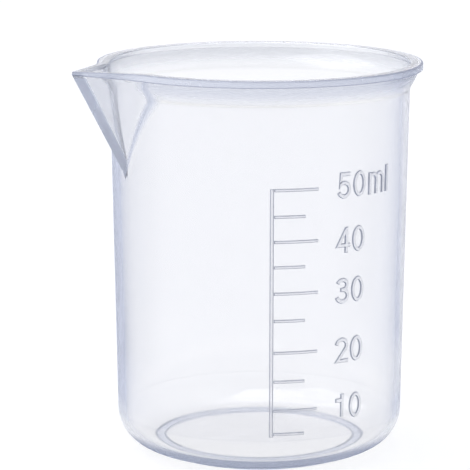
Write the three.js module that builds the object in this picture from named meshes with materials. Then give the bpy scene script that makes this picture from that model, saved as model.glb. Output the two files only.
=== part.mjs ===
// Measuring cup: a 50 ml beaker moulded in one shell, with a V spout, a flanged lip,
// a foot ring and a raised scale. Millimetres, +Z up.
// The cup stands on z = 0, the spout points to -X and the scale faces -Y.

import * as THREE from 'three';
import { ParametricGeometry } from 'three/addons/geometries/ParametricGeometry.js';

const degrees = THREE.MathUtils.degToRad;

// Shell
const cupHeight = 57;
const baseRadius = 20.75; // outside of the tapered wall, carried down to the table
const mouthRadius = 21.78; // outside of the tapered wall, carried up to the rim
const wall = 1.1;
const floorThickness = 1;
const cornerRadius = 5.3; // outside rounding between wall and floor

// Foot: a bead that stands below the rounded corner
const footWidth = 1; // flat land that touches the table
const footHeight = 0.45;
const footDraft = 0.35; // how far each side of the bead leans

// Lip: a flat flange on top of a wall that swells under it
const lipRadius = 23.58;
const lipHeight = 0.95;
const lipOuterRound = 0.25;
const lipInnerRound = 0.3;
const neckFlare = 1.05;
const neckHeight = 2.9;
const neckStraight = 0.35; // upright stretch between the swell and the flange
const neckLift = 0.5; // the inside swells this much higher, so the wall is thicker there

// Spout: two plane faces that meet in a straight ridge
const spoutReach = 29.5; // axis to tip
const spoutDrop = 15.3; // rim down to the point where the ridge leaves the wall
const spoutAngle = degrees(88); // between the two faces, seen from above
const spoutFillet = 0.4; // blend between the faces and the wall, outside
const channelFillet = 0.9; // the same blend inside

// Raised scale, as arc lengths along the wall from the upright line
const scaleTurn = degrees(-22.5); // upright line, measured from -Y towards +X
const markRelief = 0.25;
const markClearance = 0.05;
const lineWidth = 0.55;
const lineTail = 0.42; // line below the lowest graduation
const tickThickness = 0.45;
const longTick = 6.65;
const shortTick = 4.75;
const longTickStep = 10; // every tenth millilitre has a long line

// Heights of the graduation lines above the table
const heightOf5 = 6.7;
const heightOf10 = 10.1;
const heightOf15 = 14.3;
const heightOf20 = 18.47;
const heightOf25 = 23.05;
const heightOf30 = 26.96;
const heightOf35 = 30.72;
const heightOf40 = 34.31;
const heightOf45 = 37.87;
const heightOf50 = 41.62;
const graduations = [
  { millilitres: 5, height: heightOf5 },
  { millilitres: 10, height: heightOf10 },
  { millilitres: 15, height: heightOf15 },
  { millilitres: 20, height: heightOf20 },
  { millilitres: 25, height: heightOf25 },
  { millilitres: 30, height: heightOf30 },
  { millilitres: 35, height: heightOf35 },
  { millilitres: 40, height: heightOf40 },
  { millilitres: 45, height: heightOf45 },
  { millilitres: 50, height: heightOf50 },
];

// Facets
const spoutSector = degrees(30); // half of the sector that holds the spout
const spoutColumns = 30;
const roundColumns = 60;
const cornerSteps = 5;
const spoutSteps = 8;
const neckSteps = 4;
const roundSteps = 3;
const lineSteps = 12;
const tickSteps = 3;

// Worked out from the values above
const lipBase = cupHeight - lipHeight;
const neckTop = lipBase - neckStraight;
const neckBase = neckTop - neckHeight;
const ridgeBase = cupHeight - spoutDrop;
const cornerTop = footHeight + cornerRadius;
const floorTop = footHeight + floorThickness;
const halfAngle = spoutAngle / 2;
const innerCorner = Math.max(cornerRadius - wall, wall / 2);

const steps = (count, from, to) =>
  Array.from({ length: count + 1 }, (_, i) => from + ((to - from) * i) / count);

// Radius of the plain tapered wall at a height
function taper(z) {
  return baseRadius + ((mouthRadius - baseRadius) * z) / cupHeight;
}

// Swell of the wall below the lip
function flare(z) {
  return neckFlare * THREE.MathUtils.smoothstep(z, neckBase, neckTop);
}

// Radius of a corner arc that rises from a level floor into the wall
function cornerArc(z, base, radius, wallRadius) {
  const fall = Math.max(base + radius - z, 0);
  return wallRadius - radius + Math.sqrt(radius * radius - fall * fall);
}

// Outside of the round shell, without spout
function outside(z) {
  if (z < cornerTop) return cornerArc(z, footHeight, cornerRadius, taper(cornerTop));
  return taper(z) + flare(z);
}

// Inside of the round shell, without spout
function inside(z) {
  const innerTop = floorTop + innerCorner;
  if (z < innerTop) return cornerArc(z, floorTop, innerCorner, taper(innerTop) - wall);
  return taper(z) + flare(z - neckLift) - wall;
}

// Distance from the axis to the spout's ridge at a height
const ridgeSlope = (spoutReach - taper(ridgeBase)) / (lipBase - ridgeBase);
function ridge(z) {
  return spoutReach + ridgeSlope * (Math.min(z, lipBase) - lipBase);
}

// Step from outer ridge to inner ridge that leaves one wall thickness across the faces
const ridgeWall = wall * Math.hypot(1, 1 / Math.tan(halfAngle), ridgeSlope);

// Distance from the axis to the spout's faces in one direction, for a ridge at a given reach
function spoutFaces(turn, reach) {
  const side = Math.abs(turn);
  const square = Math.PI / 2 - halfAngle;
  if (side > square) return reach * Math.sin(halfAngle) * Math.max(Math.cos(side - square), 0);
  return reach / (Math.cos(side) + Math.sin(side) / Math.tan(halfAngle));
}

// The larger of two radii, with a fillet where they cross
function blend(a, b, fillet) {
  const overlap = Math.max(fillet - Math.abs(a - b), 0);
  return Math.max(a, b) + (overlap * overlap) / (4 * fillet);
}

// One ring of the shell: its height and its radius in a direction measured from the spout
const level = (z, radius) => ({ z, radius: () => radius });
const outerRing = (z) => ({
  z,
  radius: (turn) => blend(outside(z), spoutFaces(turn, ridge(z)), spoutFillet),
});
const innerRing = (z) => ({
  z,
  radius: (turn) => blend(inside(z), spoutFaces(turn, ridge(z) - ridgeWall), channelFillet),
});
const lipRing = (z, inset) => ({
  z,
  radius: (turn) => blend(lipRadius, spoutFaces(turn, spoutReach), spoutFillet) - inset,
});
const mouthRing = (z, outset) => ({
  z,
  radius: (turn) =>
    blend(inside(cupHeight), spoutFaces(turn, spoutReach - ridgeWall), channelFillet) + outset,
});

// Rings of the shell, from the middle of the underside, up the outside, over the lip and
// down the inside to the middle of the floor
function shellRings() {
  const footOuter = outside(footHeight) - footDraft;
  const footInner = footOuter - footWidth;
  const underside = [
    level(footHeight, 0),
    level(footHeight, footInner - footDraft),
    level(0, footInner),
    level(0, footOuter),
  ];

  const quarter = steps(cornerSteps, 0, Math.PI / 2);
  const outerCorner = quarter.map((a) => outerRing(footHeight + cornerRadius * (1 - Math.cos(a))));

  const spoutHeights = steps(spoutSteps, ridgeBase, neckBase);
  const neckHeights = steps(neckSteps, neckBase, neckTop).slice(1);
  const runout = ridgeBase - spoutFillet / ridgeSlope; // the ridge has faded into the wall here
  const heights = [runout, ...spoutHeights, ...neckHeights, lipBase].sort((a, b) => a - b);
  const outerWall = heights.map(outerRing);
  const innerWall = [...heights].reverse().map(innerRing);

  const rounding = steps(roundSteps, 0, Math.PI / 2);
  const lipEdge = rounding.map((a) =>
    lipRing(cupHeight - lipOuterRound * (1 - Math.sin(a)), lipOuterRound * (1 - Math.cos(a))));
  const mouthEdge = rounding.map((a) =>
    mouthRing(cupHeight - lipInnerRound * (1 - Math.cos(a)), lipInnerRound * (1 - Math.sin(a))));

  const floorCorner = [...quarter].reverse()
    .map((a) => innerRing(floorTop + innerCorner * (1 - Math.cos(a))));

  return [
    ...underside,
    ...outerCorner,
    ...outerWall,
    lipRing(lipBase, 0),
    ...lipEdge,
    ...mouthEdge,
    ...innerWall,
    ...floorCorner,
    level(floorTop, 0),
  ];
}

// Direction of a column of facets, measured from the spout, with the columns closer at the spout
const columns = spoutColumns + roundColumns;
function columnTurn(column) {
  if (column <= spoutColumns) return spoutSector * ((2 * column) / spoutColumns - 1);
  const share = (column - spoutColumns) / roundColumns;
  return spoutSector + 2 * (Math.PI - spoutSector) * share;
}

function cupBody() {
  const rings = shellRings();
  const last = rings.length - 1;
  const surface = (u, v, target) => {
    const ring = rings[Math.round(THREE.MathUtils.clamp(v, 0, 1) * last)];
    const full = columnTurn(Math.round(u * columns) % columns);
    const turn = full > Math.PI ? full - 2 * Math.PI : full;
    const radius = ring.radius(turn);
    target.set(-radius * Math.cos(turn), -radius * Math.sin(turn), ring.z);
  };
  return new ParametricGeometry(surface, columns, last);
}

// Upright line of the scale: a bar that follows the wall's outline
function scaleLine() {
  const bottom = graduations[0].height - lineTail;
  const top = graduations[graduations.length - 1].height + tickThickness / 2;
  const heights = steps(lineSteps, bottom, top);
  const seat = heights.map((z) => new THREE.Vector2(outside(z) + markClearance, z));
  const crest = heights.map((z) => new THREE.Vector2(outside(z) + markRelief, z));
  const outline = new THREE.Shape([...crest, ...seat.reverse()]);
  const bar = new THREE.ExtrudeGeometry(outline, { depth: lineWidth, bevelEnabled: false });
  bar.translate(0, 0, -lineWidth / 2);
  bar.rotateX(Math.PI / 2);
  bar.rotateZ(scaleTurn - Math.PI / 2);
  return bar;
}

// One graduation: a bar bent round the wall, from the upright line to its own length
function tick({ millilitres, height }) {
  const length = millilitres % longTickStep === 0 ? longTick : shortTick;
  const seat = outside(height + tickThickness / 2) + markClearance;
  const crest = outside(height) + markRelief;
  const start = scaleTurn - Math.PI / 2 + (lineWidth / 2 + markClearance) / seat;
  const end = scaleTurn - Math.PI / 2 + length / seat;
  const outline = new THREE.Shape();
  outline.absarc(0, 0, crest, start, end, false);
  outline.absarc(0, 0, seat, end, start, true);
  const bar = new THREE.ExtrudeGeometry(outline, {
    depth: tickThickness,
    bevelEnabled: false,
    curveSegments: tickSteps,
  });
  bar.translate(0, 0, height - tickThickness / 2);
  return bar;
}

const polypropylene = new THREE.MeshStandardMaterial({
  color: 0xeef1f9,
  roughness: 0.25,
  metalness: 0,
  transparent: true,
  opacity: 0.45,
});
const relief = new THREE.MeshStandardMaterial({ color: 0xd9dce8, roughness: 0.35, metalness: 0 });

function named(name, geometry, material) {
  const mesh = new THREE.Mesh(geometry, material);
  mesh.name = name;
  return mesh;
}

const cup = new THREE.Group();
cup.add(named('cup_body', cupBody(), polypropylene));
cup.add(named('scale_line', scaleLine(), relief));
for (const graduation of graduations) {
  const label = String(graduation.millilitres).padStart(2, '0');
  cup.add(named(`tick_${label}`, tick(graduation), relief));
}

// The origin is under the middle of the whole outline, spout included
cup.position.x = (spoutReach - lipRadius) / 2;
const part = new THREE.Group();
part.add(cup);

export default part;
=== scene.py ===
import math

import bpy
from mathutils import Matrix, Vector


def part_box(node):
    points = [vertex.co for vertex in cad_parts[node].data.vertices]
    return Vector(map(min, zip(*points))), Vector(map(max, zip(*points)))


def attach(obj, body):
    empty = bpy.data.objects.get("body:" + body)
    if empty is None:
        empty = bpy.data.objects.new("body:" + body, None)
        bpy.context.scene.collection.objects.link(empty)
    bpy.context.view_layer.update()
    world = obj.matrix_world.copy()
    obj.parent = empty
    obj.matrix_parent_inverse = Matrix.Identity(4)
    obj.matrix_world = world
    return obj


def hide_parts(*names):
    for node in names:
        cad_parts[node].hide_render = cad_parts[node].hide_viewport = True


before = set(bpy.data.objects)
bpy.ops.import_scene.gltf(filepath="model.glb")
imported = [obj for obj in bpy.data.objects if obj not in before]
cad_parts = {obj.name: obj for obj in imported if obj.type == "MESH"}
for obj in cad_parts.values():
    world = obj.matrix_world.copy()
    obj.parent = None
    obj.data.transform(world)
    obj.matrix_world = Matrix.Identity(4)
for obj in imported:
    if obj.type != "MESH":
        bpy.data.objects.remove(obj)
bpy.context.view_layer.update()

# Sizes below are millimetres in the cup's own axes: z from the table, radii from the axis.
# The scene itself is in metres.
MM = 0.001

# Read from the solids
body_low, body_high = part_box("cup_body")
CUP_HEIGHT = body_high.z / MM
LIP_RADIUS = body_high.y / MM
AXIS_X = body_high.x / MM - LIP_RADIUS
SPOUT_REACH = AXIS_X - body_low.x / MM

# Shell
BASE_RADIUS = 20.75
MOUTH_RADIUS = 21.78
WALL = 1.1
FLOOR_THICKNESS = 1.0
CORNER_RADIUS = 5.3
INNER_CORNER = CORNER_RADIUS - WALL

# Foot: a bead that stands below the rounded corner
FOOT_WIDTH = 1.0
FOOT_HEIGHT = 0.45
FOOT_DRAFT = 0.35
CORNER_TOP = FOOT_HEIGHT + CORNER_RADIUS
FLOOR_TOP = FOOT_HEIGHT + FLOOR_THICKNESS

# Lip and the swell of the wall below it
LIP_HEIGHT = 0.95
LIP_OUTER_ROUND = 0.25
LIP_INNER_ROUND = 0.3
NECK_FLARE = 1.05
NECK_HEIGHT = 2.9
NECK_STRAIGHT = 0.35
NECK_LIFT = 0.5
LIP_BASE = CUP_HEIGHT - LIP_HEIGHT
NECK_TOP = LIP_BASE - NECK_STRAIGHT
NECK_BASE = NECK_TOP - NECK_HEIGHT

# Spout: two faces that meet in a ridge, with fillets that blend them into the wall
SPOUT_DROP = 15.3
TIP_HEIGHT = 0.45
HALF_ANGLE = math.radians(44)
LOW_FILLET = 0.4
HIGH_FILLET = 1.2
INNER_FILLET = 0.9
RIDGE_ROUND = 0.15
RIDGE_BASE = CUP_HEIGHT - SPOUT_DROP
RIDGE_TOP = CUP_HEIGHT - TIP_HEIGHT

# Raised scale: arc lengths along the wall from the upright line
SCALE_TURN = math.radians(-22.5)
RELIEF = 0.2
CLEARANCE = 0.05
DRAFT = 0.12
LINE_WIDTH = 0.55
LINE_TAIL = 0.42
TICK_THICKNESS = 0.45
LONG_TICK = 6.65
SHORT_TICK = 4.75
LONG_TICK_STEP = 10

# Raised numerals: the turn of each character's left edge, from -Y towards +X, and the height
# of each number's foot
STROKE = 0.62
DIGIT_WIDTH = 2.33
DIGIT_HEIGHT = 3.72
L_HEIGHT = 3.9
FIRST_DIGIT_TURN = math.radians(3.0)
SECOND_DIGIT_TURN = math.radians(10.1)
M_TURN = math.radians(17.7)
L_TURN = math.radians(27.8)
NUMERAL_FOOT = {"50": 39.97, "40": 32.16, "30": 24.9, "20": 16.3, "10": 8.02}

# Fineness of the meshes
SPOUT_SECTOR = math.radians(30)
SPOUT_COLUMNS = 240
COLUMN_EVENNESS = 0.35
ROUND_COLUMNS = 240
CORNER_STEPS = 20
WALL_STEPS = 8
RUNOUT_STEPS = 6
SPOUT_STEPS = 24
NECK_STEPS = 16
ROUND_STEPS = 5
LINE_STEPS = 12
TICK_STEPS = 8
ARC_STEPS = 14
OVAL_STEPS = 40
ARCH_STEPS = 10
SHARP_ANGLE = math.radians(40)
FLAT_ENOUGH = 0.7
LEAST_MITRE = 0.5

# Material slots of the foot's inner side, its land and its outer side
FOOT_ROW_SLOTS = (1, 2, 1)


def steps(count, start, end):
    """Evenly spaced values, with both ends."""
    return [start + (end - start) * i / count for i in range(count + 1)]


# Outline of the shell

def smoothstep(x, low, high):
    share = min(max((x - low) / (high - low), 0), 1)
    return share * share * (3 - 2 * share)


def taper(z):
    """Radius of the plain tapered wall."""
    return BASE_RADIUS + (MOUTH_RADIUS - BASE_RADIUS) * z / CUP_HEIGHT


def flare(z):
    """Swell of the wall below the lip."""
    return NECK_FLARE * smoothstep(z, NECK_BASE, NECK_TOP)


def corner_arc(z, base, radius, wall_radius):
    """Radius of an arc that rises from a level floor into the wall."""
    fall = max(base + radius - z, 0)
    return wall_radius - radius + math.sqrt(max(radius * radius - fall * fall, 0))


def outside(z):
    """Outer radius of the round shell, without spout."""
    if z < CORNER_TOP:
        return corner_arc(z, FOOT_HEIGHT, CORNER_RADIUS, taper(CORNER_TOP))
    return taper(z) + flare(z)


def inside(z):
    """Inner radius of the round shell, without spout."""
    corner_top = FLOOR_TOP + INNER_CORNER
    if z < corner_top:
        return corner_arc(z, FLOOR_TOP, INNER_CORNER, taper(corner_top) - WALL)
    return taper(z) + flare(z - NECK_LIFT) - WALL


RIDGE_SLOPE = (SPOUT_REACH - taper(RIDGE_BASE)) / (RIDGE_TOP - RIDGE_BASE)
RIDGE_WALL = WALL * math.sqrt(1 + 1 / math.tan(HALF_ANGLE) ** 2 + RIDGE_SLOPE ** 2)
RIDGE_RUNOUT = LOW_FILLET / RIDGE_SLOPE


def ridge(z):
    """Distance from the axis to the spout's ridge."""
    return SPOUT_REACH + RIDGE_SLOPE * (min(z, RIDGE_TOP) - RIDGE_TOP)


def spout_faces(turn, reach):
    """Distance from the axis to the two faces of the spout, which meet in a rounded ridge."""
    if reach <= 0:
        return 0
    square = math.pi / 2 - HALF_ANGLE
    if abs(turn) > square:
        return reach * math.sin(HALF_ANGLE) * max(math.cos(abs(turn) - square), 0)
    slope = math.tan(HALF_ANGLE) ** 2
    top = reach + RIDGE_ROUND / math.tan(HALF_ANGLE)
    a = math.sin(turn) ** 2 - slope * math.cos(turn) ** 2
    b = slope * top * math.cos(turn)
    c = slope * top * top - RIDGE_ROUND ** 2
    return c / (b + math.sqrt(max(b * b + a * c, 0)))


def up_spout(z):
    """0 where the spout leaves the wall, 1 at the top of the neck."""
    return smoothstep(z, RIDGE_BASE, NECK_TOP)


def outer_fillet(z):
    """Fillet between the spout's faces and the wall, which widens upwards."""
    return LOW_FILLET + (HIGH_FILLET - LOW_FILLET) * up_spout(z)


def blend(a, b, fillet):
    """The larger of two radii, with a fillet where they cross."""
    overlap = max(fillet - abs(a - b), 0)
    return max(a, b) + overlap * overlap / (4 * fillet)


# Haze of the plastic, with painted shade: 0 in the clear wall, up to 1 where thick plastic looks
# milky, as in the neck, the lip and the spout's ridge, whose haze also paints the lavender of its
# inner reflections, and up to 2 for painted shade, dark in the folds beside the spout and along
# the edges of the lip
MARK_HAZE = 0.12
LIP_HAZE = 1
# Painted shade: dark lines along the lip's rounded top edge and its lower edge
LIP_EDGE_SHADE = 2
LIP_FOOT_SHADE = 2
LIP_TOP_HAZE = 0.2
MOUTH_EDGE_HAZE = 0.35
LIP_EDGE = 0.15
LIP_UNDERSIDE = 0.8
LIP_UNDERSIDE_HAZE = 0
NECK_HAZE = 0.65
NECK_INNER_HAZE = 0.2
NECK_HAZE_BASE = 53.1
NECK_HAZE_TOP = 55.3
SPOUT_HAZE = 0.2
# Painted shade in the folds where the spout's faces meet the wall
LOW_FOLD_SHADE = 1.4
HIGH_FOLD_SHADE = 1.15
LOW_FOLD_WIDTH = 0.45
HIGH_FOLD_WIDTH = 1.1
FACE_FADE = 2.5
# Milky haze along the spout's ridge, which also paints the lavender of its inner reflections
RIDGE_HAZE_AND_REFLECTION = 1
RIDGE_BAND_WIDTH = 1.25
CREST_FADE = 0.2

# Painted shade: the lip's haze is full on the side of the scale, whose turn is measured from the
# spout, and keeps a share of it across from it; the fade is a range of cosines
SHADED_LIP_SIDE = math.radians(63)
LIGHTER_SIDE_SHARE = 0.15
LIGHTER_SIDE_FADE = (-0.75, -0.15)


def fold_width(z):
    """Width of the painted shade in the folds beside the spout."""
    return LOW_FOLD_WIDTH + (HIGH_FOLD_WIDTH - LOW_FOLD_WIDTH) * up_spout(z)


def face_haze(z, turn, neck_haze):
    """Haze of the neck and of the spout's faces."""
    if z < RIDGE_BASE:
        return 0
    neck = neck_haze * smoothstep(z, NECK_HAZE_BASE, NECK_HAZE_TOP)
    on_spout = smoothstep(spout_faces(turn, ridge(z)) - outside(z), 0, fold_width(z))
    return neck + (SPOUT_HAZE - neck) * on_spout


def skin_haze_and_shade(z, turn):
    """Haze on the outside, with painted shade in the folds beside the spout, and the haze of its
    ridge with painted reflection.
    """
    if z < RIDGE_BASE:
        return 0
    face = spout_faces(turn, ridge(z)) - outside(z)
    # Painted shade in the folds beside the spout
    deepest = LOW_FOLD_SHADE + (HIGH_FOLD_SHADE - LOW_FOLD_SHADE) * up_spout(z)
    beside = -face if face < 0 else FACE_FADE * face
    fold = deepest * smoothstep(-beside, -fold_width(z), 0)
    # The ridge's haze, which also paints its inner reflections
    inside_crest = RIDGE_BAND_WIDTH - abs(turn) * outside(z)
    crest = RIDGE_HAZE_AND_REFLECTION * smoothstep(min(inside_crest, face), 0, CREST_FADE)
    return max(face_haze(z, turn, NECK_HAZE), fold, crest)


# A ring of the shell has a height, a radius and a haze with painted shade in each direction

def level(z, radius):
    return lambda turn: z, lambda turn: radius, lambda turn: 0


def outer_ring(z):
    return (
        lambda turn: z,
        lambda turn: blend(outside(z), spout_faces(turn, ridge(z)), outer_fillet(z)),
        lambda turn: skin_haze_and_shade(z, turn),
    )


def inner_ring(z):
    reach = ridge(z) - RIDGE_WALL
    return (
        lambda turn: z,
        lambda turn: blend(inside(z), spout_faces(turn, reach), INNER_FILLET),
        lambda turn: face_haze(z, turn, NECK_INNER_HAZE),
    )


def lip_radius(z, turn):
    """Outer radius of the lip, with the spout."""
    return blend(LIP_RADIUS, spout_faces(turn, ridge(z)), HIGH_FILLET)


def lip_foot(turn):
    """Height of the lip's lower edge, which rises towards the tip of the spout."""
    share = (spout_faces(turn, SPOUT_REACH) - LIP_RADIUS) / (SPOUT_REACH - LIP_RADIUS)
    return LIP_BASE + (LIP_HEIGHT - TIP_HEIGHT) * min(max(share, 0), 1)


def lip_haze_and_shade(haze_and_shade, turn):
    """A haze of the lip with painted shade, full on the side of the scale and fainter across from
    it.
    """
    hazy_side = smoothstep(math.cos(turn - SHADED_LIP_SIDE), *LIGHTER_SIDE_FADE)
    return haze_and_shade * (LIGHTER_SIDE_SHARE + (1 - LIGHTER_SIDE_SHARE) * hazy_side)


def lip_foot_ring(rise, haze_and_shade):
    """Ring along the lower edge of the lip, or above it by a rise."""
    return (
        lambda turn: lip_foot(turn) + rise,
        lambda turn: lip_radius(lip_foot(turn) + rise, turn),
        lambda turn: lip_haze_and_shade(haze_and_shade, turn),
    )


def between_rings(first, second, share, haze_and_shade):
    """Ring at a share of the way from one ring to another."""
    def mix(i):
        return lambda turn: first[i](turn) + (second[i](turn) - first[i](turn)) * share

    return mix(0), mix(1), lambda turn: haze_and_shade


def lip_ring(z, inset, haze_and_shade):
    return (
        lambda turn: z,
        lambda turn: lip_radius(CUP_HEIGHT, turn) - inset,
        lambda turn: lip_haze_and_shade(haze_and_shade, turn),
    )


def mouth_ring(z, outset, haze_and_shade):
    mouth = inside(CUP_HEIGHT)
    reach = SPOUT_REACH - RIDGE_WALL
    return (
        lambda turn: z,
        lambda turn: blend(mouth, spout_faces(turn, reach), INNER_FILLET) + outset,
        lambda turn: haze_and_shade,
    )


def shell_rings():
    """Rings from the middle of the underside, up the outside, over the lip and down the inside."""
    foot_outer = outside(FOOT_HEIGHT) - FOOT_DRAFT
    foot_inner = foot_outer - FOOT_WIDTH
    rings = [
        level(FOOT_HEIGHT, 0),
        level(FOOT_HEIGHT, foot_inner - FOOT_DRAFT),
        level(0, foot_inner),
        level(0, foot_outer),
    ]
    quarter = steps(CORNER_STEPS, 0, math.pi / 2)
    rings += [outer_ring(FOOT_HEIGHT + CORNER_RADIUS * (1 - math.cos(a))) for a in quarter]

    heights = steps(WALL_STEPS, FLOOR_TOP + INNER_CORNER, RIDGE_BASE - RIDGE_RUNOUT)
    heights += steps(RUNOUT_STEPS, RIDGE_BASE - RIDGE_RUNOUT, RIDGE_BASE)[1:]
    heights += steps(SPOUT_STEPS, RIDGE_BASE, NECK_BASE)[1:]
    heights += steps(NECK_STEPS, NECK_BASE, NECK_TOP)[1:] + [LIP_BASE]
    rings += [outer_ring(z) for z in heights]

    rounding = steps(ROUND_STEPS, 0, math.pi / 2)
    # Painted shade: a dark line along the lip's lower edge
    lip_edge = lip_foot_ring(0, LIP_FOOT_SHADE)
    rings.append(between_rings(rings[-1], lip_edge, LIP_UNDERSIDE, LIP_UNDERSIDE_HAZE))
    rings.append(lip_edge)
    rings.append(lip_foot_ring(LIP_EDGE, LIP_HAZE))
    # Painted shade darkens the lip's outer rounding towards its top
    for a in rounding:
        drop = LIP_OUTER_ROUND * (1 - math.sin(a))
        inset = LIP_OUTER_ROUND * (1 - math.cos(a))
        haze_and_shade = LIP_HAZE + (LIP_EDGE_SHADE - LIP_HAZE) * math.sin(a)
        rings.append(lip_ring(CUP_HEIGHT - drop, inset, haze_and_shade))
    rings.append(lip_ring(CUP_HEIGHT, LIP_OUTER_ROUND + LIP_EDGE, LIP_TOP_HAZE))
    rings.append(mouth_ring(CUP_HEIGHT, LIP_INNER_ROUND + LIP_EDGE, LIP_TOP_HAZE))
    for a in rounding:
        drop = LIP_INNER_ROUND * (1 - math.cos(a))
        outset = LIP_INNER_ROUND * (1 - math.sin(a))
        rings.append(mouth_ring(CUP_HEIGHT - drop, outset, MOUTH_EDGE_HAZE))

    rings += [inner_ring(z) for z in reversed(heights)]
    floor_corner = [FLOOR_TOP + INNER_CORNER * (1 - math.cos(a)) for a in quarter[:-1]]
    rings += [inner_ring(z) for z in reversed(floor_corner)]
    rings.append(level(FLOOR_TOP, 0))
    return rings


def column_turns():
    """Directions of the columns of faces, measured from the spout and closest at its ridge."""
    turns = []
    for i in range(SPOUT_COLUMNS):
        share = 2 * i / SPOUT_COLUMNS - 1
        share = COLUMN_EVENNESS * share + (1 - COLUMN_EVENNESS) * share ** 3
        turns.append(SPOUT_SECTOR * share)
    for i in range(ROUND_COLUMNS):
        turns.append(SPOUT_SECTOR + 2 * (math.pi - SPOUT_SECTOR) * i / ROUND_COLUMNS)
    return [turn if turn <= math.pi else turn - 2 * math.pi for turn in turns]


def place(radius, turn, z):
    """A point at a radius and a turn from -Y towards +X, in metres."""
    return Vector((AXIS_X + radius * math.sin(turn), -radius * math.cos(turn), z)) * MM


def new_object(name, vertices, faces, materials):
    mesh = bpy.data.meshes.new(name)
    mesh.from_pydata(vertices, [], faces)
    mesh.validate()
    obj = bpy.data.objects.new(name, mesh)
    bpy.context.scene.collection.objects.link(obj)
    for material in materials:
        mesh.materials.append(material)
    return obj


def make_cup(wall_material, land_material, side_material):
    """The shell as one closed skin: a fan at each end and quads between the rings."""
    rings = shell_rings()
    turns = column_turns()
    count = len(turns)
    spout_turn = -math.pi / 2
    vertices = [place(0, 0, FOOT_HEIGHT)]
    haze_and_shade_values = [0]
    for height, radius, haze_and_shade in rings[1:-1]:
        vertices += [place(radius(turn), spout_turn + turn, height(turn)) for turn in turns]
        haze_and_shade_values += [haze_and_shade(turn) for turn in turns]
    vertices.append(place(0, 0, FLOOR_TOP))
    haze_and_shade_values.append(0)

    def index(ring, column):
        return 1 + ring * count + column % count

    last_ring = len(rings) - 3
    last = len(vertices) - 1
    faces = [(0, index(0, c + 1), index(0, c)) for c in range(count)]
    for r in range(last_ring):
        for c in range(count):
            faces.append((index(r, c), index(r, c + 1), index(r + 1, c + 1), index(r + 1, c)))
    faces += [(index(last_ring, c), index(last_ring, c + 1), last) for c in range(count)]

    cup = new_object("cup", vertices, faces, [wall_material, side_material, land_material])
    cup.data.attributes.new("haze_and_shade", "FLOAT", "POINT").data.foreach_set("value", haze_and_shade_values)
    for row, slot in enumerate(FOOT_ROW_SLOTS, start=1):
        for polygon in cup.data.polygons[count * row:count * (row + 1)]:
            polygon.material_index = slot
    cup.data.shade_smooth()
    cup.data.set_sharp_from_angle(angle=SHARP_ANGLE)
    normals = cup.modifiers.new("face_weighted_normals", "WEIGHTED_NORMAL")
    normals.keep_sharp = True
    return cup


# Raised marks: a stroke is a ribbon with drafted sides along a path on the unrolled wall

def arc(centre, radii, start, end, count=ARC_STEPS):
    """Points of an elliptical arc, with angles in degrees from +x."""
    return [
        (centre[0] + radii[0] * math.cos(a), centre[1] + radii[1] * math.sin(a))
        for a in steps(count, math.radians(start), math.radians(end))
    ]


def offset_points(path, closed, distance, extend):
    """The path moved sideways, with mitred corners, and its ends moved along the path."""
    points = [Vector(p) for p in path]
    count = len(points)
    moved = []
    for i, point in enumerate(points):
        starts = i == 0 and not closed
        ends = i == count - 1 and not closed
        arriving = point - points[i - 1] if not starts else points[1] - point
        leaving = points[(i + 1) % count] - point if not ends else arriving
        arriving = arriving.normalized()
        along = (arriving + leaving.normalized()).normalized()
        side = Vector((-along.y, along.x))
        mitre = max(along.dot(arriving), LEAST_MITRE)
        shift = extend * (ends - starts)
        moved.append(point + side * (distance / mitre) + along * shift)
    return moved


def stroke_solid(name, path, width, closed=False):
    """One stroke as a closed solid: x along the wall, y upwards and z out of it."""
    half = width / 2
    sections = [
        offset_points(path, closed, half, 0),
        offset_points(path, closed, -half, 0),
        offset_points(path, closed, DRAFT - half, -DRAFT),
        offset_points(path, closed, half - DRAFT, -DRAFT),
    ]
    heights = [0, 0, RELIEF, RELIEF]
    sides = len(sections)
    count = len(path)
    vertices = []
    for i in range(count):
        vertices += [(section[i].x, section[i].y, h) for section, h in zip(sections, heights)]
    faces = []
    for i in range(count if closed else count - 1):
        a, b = sides * i, sides * ((i + 1) % count)
        faces += [(a + k, b + k, b + (k + 1) % sides, a + (k + 1) % sides) for k in range(sides)]
    if not closed:
        last = sides * (count - 1)
        faces += [(0, 1, 2, 3), (last + 3, last + 2, last + 1, last)]
    return new_object(name, vertices, faces, [])


def joined(name, solids):
    """The union of several solids, as one object."""
    whole = solids[0]
    for other in solids[1:]:
        union = whole.modifiers.new("union", "BOOLEAN")
        union.operation = "UNION"
        union.solver = "EXACT"
        union.object = other
    depsgraph = bpy.context.evaluated_depsgraph_get()
    mesh = bpy.data.meshes.new_from_object(whole.evaluated_get(depsgraph))
    for solid in solids:
        bpy.data.objects.remove(solid)
    mesh.name = name
    obj = bpy.data.objects.new(name, mesh)
    bpy.context.scene.collection.objects.link(obj)
    return obj


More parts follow.
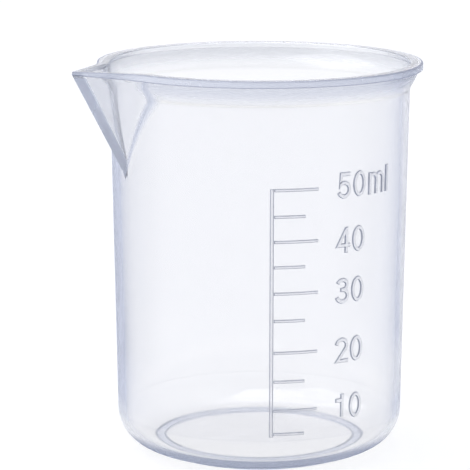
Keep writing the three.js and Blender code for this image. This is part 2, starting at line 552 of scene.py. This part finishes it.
def glyph_strokes(character):
    """Centre lines of a character's strokes in its cell, as (path, closed) pairs."""
    half = STROKE / 2
    right = DIGIT_WIDTH - half
    top = DIGIT_HEIGHT - half
    middle = DIGIT_WIDTH / 2
    bowl_x = 1.1
    if character == "0":
        radii = (middle - half, (top - half) / 2)
        oval = arc((middle, DIGIT_HEIGHT / 2), radii, 0, 360, OVAL_STEPS)
        return [(oval[:-1], True)]
    if character == "1":
        stem = 1.4
        foot, head = 0.4, 3.8
        flag_left, flag_height = 0.25, 2.85
        return [
            ([(stem, foot), (stem, head)], False),
            ([(flag_left, flag_height), (stem, flag_height)], False),
        ]
    if character == "2":
        shoulder = 2.55
        foot_left = 0.45
        bowl = arc((middle, shoulder), (middle - half, top - shoulder), 175, -30)
        return [(bowl + [(foot_left, half), (DIGIT_WIDTH, half)], False)]
    if character == "3":
        waist = 2.0
        upper_width = 0.8
        inner_end = (0.75, waist)
        upper = arc((bowl_x, (top + waist) / 2), (upper_width, (top - waist) / 2), 165, -90)
        lower = arc((bowl_x, (half + waist) / 2), (right - bowl_x, (waist - half) / 2), 90, -170)
        return [(upper + [inner_end], False), ([inner_end] + lower, False)]
    if character == "4":
        stem = 1.66
        slant_top = stem - 0.08
        bar_left, bar = 0.3, 1.1
        return [
            ([(stem, 0), (stem, DIGIT_HEIGHT)], False),
            ([(slant_top, top), (bar_left, bar), (DIGIT_WIDTH, bar)], False),
        ]
    if character == "5":
        flag_right, flag_left = DIGIT_WIDTH - 0.2, 0.62
        flag_foot = (0.42, 1.8)
        bowl_y, bowl_height = 1.22, 0.97
        bowl = arc((bowl_x, bowl_y), (right - bowl_x, bowl_height), 128, -160)
        return [([(flag_right, top), (flag_left, top), flag_foot] + bowl, False)]
    if character == "m":
        stems = [half, 1.68, 3.12]
        height = 3.2
        spring = 2.2
        strokes = [([(stems[0], 0), (stems[0], height)], False)]
        for left, next_stem in zip(stems, stems[1:]):
            span = (next_stem - left) / 2
            radii = (span, height - half - spring)
            arch = arc((left + span, spring), radii, 180, 0, ARCH_STEPS)
            strokes.append((arch + [(next_stem, 0)], False))
        return strokes
    return [([(half, 0), (half, L_HEIGHT)], False)]


def make_glyph(character):
    """One character as a flat solid."""
    strokes = glyph_strokes(character)
    solids = [stroke_solid("stroke", path, STROKE, closed) for path, closed in strokes]
    return joined("glyph", solids)


def wrapped(obj, turn, foot):
    """Lays a flat mark on the wall and turns its millimetres into metres."""
    for vertex in obj.data.vertices:
        x, y, out = vertex.co
        z = foot + y
        vertex.co = place(outside(z) + CLEARANCE + out, turn + x / outside(z), z)


def mark_materials(obj, face_material, side_material):
    """The raised face and the seat take one material, and the drafted sides the other."""
    obj.data.materials.clear()
    obj.data.materials.append(face_material)
    obj.data.materials.append(side_material)
    haze_and_shade_values = [MARK_HAZE] * len(obj.data.vertices)
    obj.data.attributes.new("haze_and_shade", "FLOAT", "POINT").data.foreach_set("value", haze_and_shade_values)
    for polygon in obj.data.polygons:
        outward = polygon.center - place(0, 0, polygon.center.z / MM)
        level_face = abs(polygon.normal.dot(outward.normalized())) > FLAT_ENOUGH
        polygon.material_index = 0 if level_face else 1


def make_bar(name, path, width, foot):
    """A straight bar of the scale, laid on the wall."""
    bar = stroke_solid(name, path, width)
    wrapped(bar, SCALE_TURN, foot)
    return bar


def merged(name, objects):
    """Several objects as one, with their pieces kept apart."""
    vertices, faces = [], []
    for obj in objects:
        start = len(vertices)
        vertices += [vertex.co.copy() for vertex in obj.data.vertices]
        faces += [[start + v for v in polygon.vertices] for polygon in obj.data.polygons]
        bpy.data.objects.remove(obj)
    return new_object(name, vertices, faces, [])


def make_scale():
    """The upright line, the graduations and the numerals."""
    marks = []
    ticks = sorted(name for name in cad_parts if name.startswith("tick_"))
    heights = {}
    for name in ticks:
        low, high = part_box(name)
        heights[name] = (low.z + high.z) / 2 / MM

    bottom = heights[ticks[0]] - LINE_TAIL
    top = heights[ticks[-1]] + TICK_THICKNESS / 2
    path = [(0, z) for z in steps(LINE_STEPS, 0, top - bottom)]
    line = make_bar("upright_line", path, LINE_WIDTH, bottom)
    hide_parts("scale_line")
    marks.append(line)

    start = LINE_WIDTH / 2 + CLEARANCE
    for name in ticks:
        millilitres = int(name.split("_")[1])
        length = LONG_TICK if millilitres % LONG_TICK_STEP == 0 else SHORT_TICK
        path = [(x, 0) for x in steps(TICK_STEPS, start, length)]
        tick = make_bar(f"graduation_{millilitres:02d}", path, TICK_THICKNESS, heights[name])
        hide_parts(name)
        marks.append(tick)

    for label, foot in NUMERAL_FOOT.items():
        glyphs = [make_glyph(character) for character in label]
        wrapped(glyphs[0], FIRST_DIGIT_TURN, foot)
        wrapped(glyphs[1], SECOND_DIGIT_TURN, foot)
        marks.append(merged(f"numeral_{label}", glyphs))

    unit = [make_glyph("m"), make_glyph("l")]
    wrapped(unit[0], M_TURN, NUMERAL_FOOT["50"])
    wrapped(unit[1], L_TURN, NUMERAL_FOOT["50"])
    marks.append(merged("unit", unit))
    return marks


# Materials

def new_material(name):
    material = bpy.data.materials.new(name)
    material.use_nodes = True
    tree = material.node_tree
    return material, tree, tree.nodes["Principled BSDF"]


def add_node(tree, kind, **values):
    node = tree.nodes.new(kind)
    for key, value in values.items():
        setattr(node, key, value)
    return node


def map_range(tree, value, source, target):
    """A value carried from one range to another, smooth at both ends."""
    node = add_node(tree, "ShaderNodeMapRange", interpolation_type="SMOOTHSTEP")
    node.inputs["From Min"].default_value, node.inputs["From Max"].default_value = source
    node.inputs["To Min"].default_value, node.inputs["To Max"].default_value = target
    tree.links.new(value, node.inputs["Value"])
    return node.outputs["Result"]


def colour_ramp(tree, value, stops):
    """A colour read from a row of (position, colour) stops."""
    node = add_node(tree, "ShaderNodeValToRGB")
    elements = node.color_ramp.elements
    elements.remove(elements[1])
    elements[0].position, elements[0].color = stops[0]
    for position, colour in stops[1:]:
        elements.new(position).color = colour
    tree.links.new(value, node.inputs[0])
    return node.outputs["Color"]


def noise(tree, vector, scale, detail):
    node = add_node(tree, "ShaderNodeTexNoise")
    node.inputs["Scale"].default_value = scale
    node.inputs["Detail"].default_value = detail
    tree.links.new(vector, node.inputs["Vector"])
    return node.outputs["Fac"]


# Range in which most of the noise lies
NOISE_RANGE = (0.3, 0.7)

# Natural plastic: clear in the wall, milky at a haze of 1 and dark with painted shade at the
# darkest level, with flow streaks in its roughness and a faint wave in its surface
PLASTIC_IOR = 1.49
CLEAR_COLOUR = (0.99, 0.988, 0.989, 1)
HAZY_COLOUR = (0.9, 0.92, 0.97, 1)
PAINTED_SHADE_COLOUR = (0.32, 0.34, 0.44, 1)
DARKEST_SHADE_LEVEL = 2
HAZE_ROUGHNESS = 0.2
CLEAR_WALL = 0.965
CLEAR_HAZE = 0.4
STREAK_SCALE = (220, 220, 30)
STREAK_DETAIL = 3
STREAK_ROUGHNESS = (0.03, 0.08)
WAVE_SCALE = 90
WAVE_DETAIL = 2
WAVE_STRENGTH = 0.02


def polypropylene():
    """Natural plastic with haze and painted shade, flow streaks up the wall and a faint mould
    texture.
    """
    material, tree, shader = new_material("polypropylene")
    shader.inputs["IOR"].default_value = PLASTIC_IOR
    spot = add_node(tree, "ShaderNodeTexCoord").outputs["Object"]
    haze_and_shade_level = add_node(tree, "ShaderNodeAttribute", attribute_name="haze_and_shade").outputs["Fac"]
    share = add_node(tree, "ShaderNodeMath", operation="DIVIDE")
    share.inputs[1].default_value = DARKEST_SHADE_LEVEL
    tree.links.new(haze_and_shade_level, share.inputs[0])
    # Painted shade: past the milky haze the colour darkens towards the darkest level
    shades = [(0, CLEAR_COLOUR), (1 / DARKEST_SHADE_LEVEL, HAZY_COLOUR), (1, PAINTED_SHADE_COLOUR)]
    colour = colour_ramp(tree, share.outputs[0], shades)
    clear = add_node(tree, "ShaderNodeMapRange")
    clear.inputs["To Min"].default_value = CLEAR_WALL
    clear.inputs["To Max"].default_value = CLEAR_HAZE
    tree.links.new(haze_and_shade_level, clear.inputs["Value"])
    tree.links.new(colour, shader.inputs["Base Color"])
    tree.links.new(clear.outputs["Result"], shader.inputs["Transmission Weight"])

    stretch = add_node(tree, "ShaderNodeMapping")
    stretch.inputs["Scale"].default_value = STREAK_SCALE
    tree.links.new(spot, stretch.inputs["Vector"])
    streaks = noise(tree, stretch.outputs[0], 1, STREAK_DETAIL)
    rough = add_node(tree, "ShaderNodeMath", operation="MULTIPLY_ADD")
    rough.inputs[1].default_value = HAZE_ROUGHNESS
    tree.links.new(haze_and_shade_level, rough.inputs[0])
    tree.links.new(map_range(tree, streaks, NOISE_RANGE, STREAK_ROUGHNESS), rough.inputs[2])
    tree.links.new(rough.outputs[0], shader.inputs["Roughness"])

    bump = add_node(tree, "ShaderNodeBump")
    bump.inputs["Strength"].default_value = WAVE_STRENGTH
    bump.inputs["Distance"].default_value = MM
    tree.links.new(noise(tree, spot, WAVE_SCALE, WAVE_DETAIL), bump.inputs["Height"])
    tree.links.new(bump.outputs[0], shader.inputs["Normal"])
    return material


# Plastic left matt by the mould, on the sides of the marks and on the foot, coloured grey-lavender
# as painted shade: dark outlines along the marks and a dark band round the foot
FROSTED_AND_SHADED = {
    "relief_edge": {"dull": (0.58, 0.59, 0.63, 1), "pale": (0.7, 0.71, 0.75, 1), "clear": 0.05},
    "foot_land": {"dull": (0.56, 0.6, 0.73, 1), "pale": (0.66, 0.7, 0.83, 1), "clear": 0.45},
    "foot_side": {"dull": (0.6, 0.64, 0.77, 1), "pale": (0.7, 0.74, 0.87, 1), "clear": 0.45},
}
GRAIN_SCALE = 900
GRAIN_DETAIL = 3
GRAIN_ROUGHNESS = (0.38, 0.56)


def frosted_and_shaded(name):
    """Matt plastic with a fine grain in its colour and roughness, its colour darkened as painted
    shade.
    """
    look = FROSTED_AND_SHADED[name]
    material, tree, shader = new_material(name)
    shader.inputs["Transmission Weight"].default_value = look["clear"]
    shader.inputs["IOR"].default_value = PLASTIC_IOR
    spot = add_node(tree, "ShaderNodeTexCoord").outputs["Object"]
    grain = noise(tree, spot, GRAIN_SCALE, GRAIN_DETAIL)
    colour = add_node(tree, "ShaderNodeMix", data_type="RGBA")
    colour.inputs["A"].default_value = look["dull"]
    colour.inputs["B"].default_value = look["pale"]
    tree.links.new(map_range(tree, grain, NOISE_RANGE, (0, 1)), colour.inputs["Factor"])
    tree.links.new(colour.outputs["Result"], shader.inputs["Base Color"])
    rough = map_range(tree, grain, NOISE_RANGE, GRAIN_ROUGHNESS)
    tree.links.new(rough, shader.inputs["Roughness"])
    return material


# Camera of the photograph: millimetres, pixels in a 470 pixel frame, and a range in metres
IMAGE_SIZE = 470
CAMERA_TURN = math.radians(-27)
CAMERA_DISTANCE = 379.44
CAMERA_HEIGHT = 105.04
CAMERA_PITCH = math.radians(11.02)
CAMERA_ROLL = math.radians(0.14)
FOCAL_PIXELS = 2637.96
CENTRE_PIXEL = (259.64, 235.5)
SENSOR = 36.0
CLIP_NEAR = 0.01
CLIP_FAR = 10


# Stage

# Below this number of reflections there was none
NO_REFLECTION = 0.5


def seen_directly(tree):
    """1 for what the camera sees, straight or through clear plastic without a reflection."""
    path = add_node(tree, "ShaderNodeLightPath")
    plain = add_node(tree, "ShaderNodeMath", operation="LESS_THAN")
    plain.inputs[1].default_value = NO_REFLECTION
    through = add_node(tree, "ShaderNodeMath", operation="MULTIPLY")
    seen = add_node(tree, "ShaderNodeMath", operation="MAXIMUM")
    tree.links.new(path.outputs["Glossy Depth"], plain.inputs[0])
    tree.links.new(path.outputs["Is Transmission Ray"], through.inputs[0])
    tree.links.new(plain.outputs[0], through.inputs[1])
    tree.links.new(path.outputs["Is Camera Ray"], seen.inputs[0])
    tree.links.new(through.outputs[0], seen.inputs[1])
    return seen.outputs[0]


def towards(turn):
    """Level direction at a turn from -Y towards +X."""
    return Vector((math.sin(turn), -math.cos(turn), 0))


def within_turn(tree, direction, patch):
    """1 inside a patch's inner angle round its turn, fading to 0 at its outer angle."""
    facing = add_node(tree, "ShaderNodeVectorMath", operation="DOT_PRODUCT")
    facing.inputs[1].default_value = towards(math.radians(patch["turn"]))
    tree.links.new(direction, facing.inputs[0])
    edges = [math.cos(math.radians(patch[edge])) for edge in ("outer", "inner")]
    return map_range(tree, facing.outputs["Value"], edges, (0, 1))


def laid_over(tree, ground, colour, cover):
    """A colour laid over another where the cover is 1."""
    mix = add_node(tree, "ShaderNodeMix", data_type="RGBA")
    mix.inputs["B"].default_value = colour
    tree.links.new(cover, mix.inputs["Factor"])
    tree.links.new(ground, mix.inputs["A"])
    return mix.outputs["Result"]


# What the plastic mirrors of the room: lavender that grows lighter from the horizon upwards,
# with a white backdrop behind the cup, a dim side in front of it and a white card beyond the
# spout; turns and angles in degrees
WHITE = (1, 1, 1, 1)
ROOM_LOW = (0.5, 0.54, 0.66, 1)
ROOM_HIGH = (0.66, 0.69, 0.79, 1)
ROOM_HIGH_FROM = 0.8
SCREENS = [
    {"turn": 150, "inner": 20, "outer": 40, "colour": (0.9, 0.91, 0.96, 1)},
    {"turn": -27, "inner": 35, "outer": 85, "colour": (0.3, 0.33, 0.42, 1)},
    {"turn": -95, "inner": 15, "outer": 45, "colour": (0.95, 0.96, 1, 1)},
]


def make_world():
    """White to the camera, and a lavender room to the plastic's reflections."""
    world = bpy.data.worlds.new("studio")
    bpy.context.scene.world = world
    world.use_nodes = True
    tree = world.node_tree
    tree.nodes.clear()
    white = add_node(tree, "ShaderNodeBackground")
    white.inputs["Color"].default_value = WHITE
    room = add_node(tree, "ShaderNodeBackground")
    direction = add_node(tree, "ShaderNodeTexCoord").outputs["Generated"]
    split = add_node(tree, "ShaderNodeSeparateXYZ")
    tree.links.new(direction, split.inputs[0])
    shades = [(0, ROOM_LOW), (ROOM_HIGH_FROM, ROOM_HIGH)]
    mirrored = colour_ramp(tree, split.outputs["Z"], shades)
    for screen in SCREENS:
        cover = within_turn(tree, direction, screen)
        mirrored = laid_over(tree, mirrored, screen["colour"], cover)
    tree.links.new(mirrored, room.inputs["Color"])
    mix = add_node(tree, "ShaderNodeMixShader")
    output = add_node(tree, "ShaderNodeOutputWorld")
    tree.links.new(seen_directly(tree), mix.inputs[0])
    tree.links.new(room.outputs[0], mix.inputs[1])
    tree.links.new(white.outputs[0], mix.inputs[2])
    tree.links.new(mix.outputs[0], output.inputs[0])


# Table: its side in metres, its glow for the camera and the colour that takes the shadow
FLOOR_SIZE = 4.0
FLOOR_GLOW = (0.85, 0.855, 0.87, 1)
FLOOR_SHADED = (0.19, 0.19, 0.19, 1)

# What the plastic mirrors of the table, by distance from the axis, with painted light and shadow:
# pale painted light under the middle of the cup, a dim painted shadow in a ring under its corner,
# bright painted light round its wall and lavender further out
FLOOR_RANGE = 100
TABLE_PALE_PAINTED_LIGHT = (0.75, 0.78, 0.86, 1)
TABLE_PAINTED_SHADOW = (0.35, 0.39, 0.51, 1)
TABLE_PAINTED_LIGHT = (0.82, 0.84, 0.9, 1)
TABLE_LAVENDER = (0.6, 0.64, 0.78, 1)
FLOOR_SHADES = [
    (14.5, TABLE_PALE_PAINTED_LIGHT),
    (15.5, TABLE_PAINTED_SHADOW),
    (18, TABLE_PAINTED_SHADOW),
    (21, TABLE_PAINTED_LIGHT),
    (27, TABLE_PAINTED_LIGHT),
    (40, TABLE_LAVENDER),
]

# Patches of painted light and shade on the table, which the plastic mirrors, each laid over those
# before it and fading in at its start: a pale one to the right with lavender beyond it, a pale one
# behind the cup and a dim one to the left; turns and angles in degrees
PAINTED_TABLE_PATCHES = [
    {"turn": 85, "inner": 25, "outer": 45, "start": (34, 46), "colour": (0.74, 0.77, 0.86, 1)},
    {"turn": 85, "inner": 25, "outer": 45, "start": (62, 90), "colour": TABLE_LAVENDER},
    {"turn": 133, "inner": 12, "outer": 22, "start": (32, 48), "colour": (0.8, 0.82, 0.9, 1)},
    {"turn": 228, "inner": 14, "outer": 30, "start": (50, 80), "colour": (0.36, 0.4, 0.53, 1)},
]


def floor_material():
    """Pale table that looks white to the camera, keeps a soft shadow, and shows painted light and
    shadow to reflections.
    """
    material, tree, shader = new_material("table")
    tree.nodes.remove(shader)
    pale = add_node(tree, "ShaderNodeEmission")
    spot = add_node(tree, "ShaderNodeNewGeometry")
    offset = add_node(tree, "ShaderNodeVectorMath", operation="SUBTRACT")
    offset.inputs[1].default_value = (AXIS_X * MM, 0, 0)
    away = add_node(tree, "ShaderNodeVectorMath", operation="LENGTH")
    share = add_node(tree, "ShaderNodeMath", operation="DIVIDE")
    share.inputs[1].default_value = FLOOR_RANGE * MM
    heading = add_node(tree, "ShaderNodeVectorMath", operation="NORMALIZE")
    tree.links.new(spot.outputs["Position"], offset.inputs[0])
    tree.links.new(offset.outputs[0], away.inputs[0])
    tree.links.new(offset.outputs[0], heading.inputs[0])
    tree.links.new(away.outputs["Value"], share.inputs[0])

    # Painted light and shadow in rings round the cup's axis
    shades = [(distance / FLOOR_RANGE, colour) for distance, colour in FLOOR_SHADES]
    mirrored = colour_ramp(tree, share.outputs[0], shades)
    # Patches of painted light and shade, laid over the rings
    for painted_patch in PAINTED_TABLE_PATCHES:
        starts = [distance / FLOOR_RANGE for distance in painted_patch["start"]]
        cover = add_node(tree, "ShaderNodeMath", operation="MULTIPLY")
        tree.links.new(within_turn(tree, heading.outputs[0], painted_patch), cover.inputs[0])
        tree.links.new(map_range(tree, share.outputs[0], starts, (0, 1)), cover.inputs[1])
        mirrored = laid_over(tree, mirrored, painted_patch["colour"], cover.outputs[0])
    tree.links.new(mirrored, pale.inputs["Color"])

    glow = add_node(tree, "ShaderNodeEmission")
    glow.inputs["Color"].default_value = FLOOR_GLOW
    shaded = add_node(tree, "ShaderNodeBsdfDiffuse")
    shaded.inputs["Color"].default_value = FLOOR_SHADED
    white = add_node(tree, "ShaderNodeAddShader")
    mix = add_node(tree, "ShaderNodeMixShader")
    tree.links.new(glow.outputs[0], white.inputs[0])
    tree.links.new(shaded.outputs[0], white.inputs[1])
    tree.links.new(seen_directly(tree), mix.inputs[0])
    tree.links.new(pale.outputs[0], mix.inputs[1])
    tree.links.new(white.outputs[0], mix.inputs[2])
    tree.links.new(mix.outputs[0], tree.nodes["Material Output"].inputs[0])
    return material


def make_floor():
    half = FLOOR_SIZE / 2
    corners = [(-half, -half, 0), (half, -half, 0), (half, half, 0), (-half, half, 0)]
    floor = new_object("table", corners, [(0, 1, 2, 3)], [floor_material()])


# Lamp above and behind the cup: metres and watts
KEY_PLACE = (-0.3, 0.2, 0.9)
KEY_SIZE = 1.4
KEY_POWER = 9.0


def make_lamp(name, location, size, power):
    """A square lamp that faces the cup."""
    lamp = bpy.data.lights.new(name, "AREA")
    lamp.size = size
    lamp.energy = power
    obj = bpy.data.objects.new(name, lamp)
    obj.location = location
    obj.rotation_euler = (-Vector(location)).to_track_quat("-Z", "Y").to_euler()
    bpy.context.scene.collection.objects.link(obj)


def make_camera():
    data = bpy.data.cameras.new("camera")
    data.sensor_width = SENSOR
    data.lens = FOCAL_PIXELS / IMAGE_SIZE * SENSOR
    data.shift_x = (IMAGE_SIZE / 2 - CENTRE_PIXEL[0]) / IMAGE_SIZE
    data.shift_y = (CENTRE_PIXEL[1] - IMAGE_SIZE / 2) / IMAGE_SIZE
    data.clip_start = CLIP_NEAR
    data.clip_end = CLIP_FAR
    camera = bpy.data.objects.new("camera", data)
    bpy.context.scene.collection.objects.link(camera)
    camera.matrix_world = (
        Matrix.Translation(place(CAMERA_DISTANCE, CAMERA_TURN, CAMERA_HEIGHT))
        @ Matrix.Rotation(CAMERA_TURN, 4, "Z")
        @ Matrix.Rotation(math.pi / 2 - CAMERA_PITCH, 4, "X")
        @ Matrix.Rotation(CAMERA_ROLL, 4, "Z")
    )
    bpy.context.scene.camera = camera


# Clear plastic passes light on many times
LIGHT_BOUNCES = 128

make_camera()
make_world()
make_floor()
make_lamp("key", KEY_PLACE, KEY_SIZE, KEY_POWER)

plastic = polypropylene()
# The marks' sides and the foot take matt plastic darkened as painted shade
edge = frosted_and_shaded("relief_edge")
foot_land = frosted_and_shaded("foot_land")
foot_side = frosted_and_shaded("foot_side")
cup = make_cup(plastic, foot_land, foot_side)
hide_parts("cup_body")
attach(cup, "root")
for mark in make_scale():
    mark_materials(mark, plastic, edge)
    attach(mark, "root")

scene = bpy.context.scene
scene.view_settings.view_transform = "Standard"
scene.cycles.max_bounces = LIGHT_BOUNCES
scene.cycles.transmission_bounces = LIGHT_BOUNCES
scene.cycles.glossy_bounces = LIGHT_BOUNCES
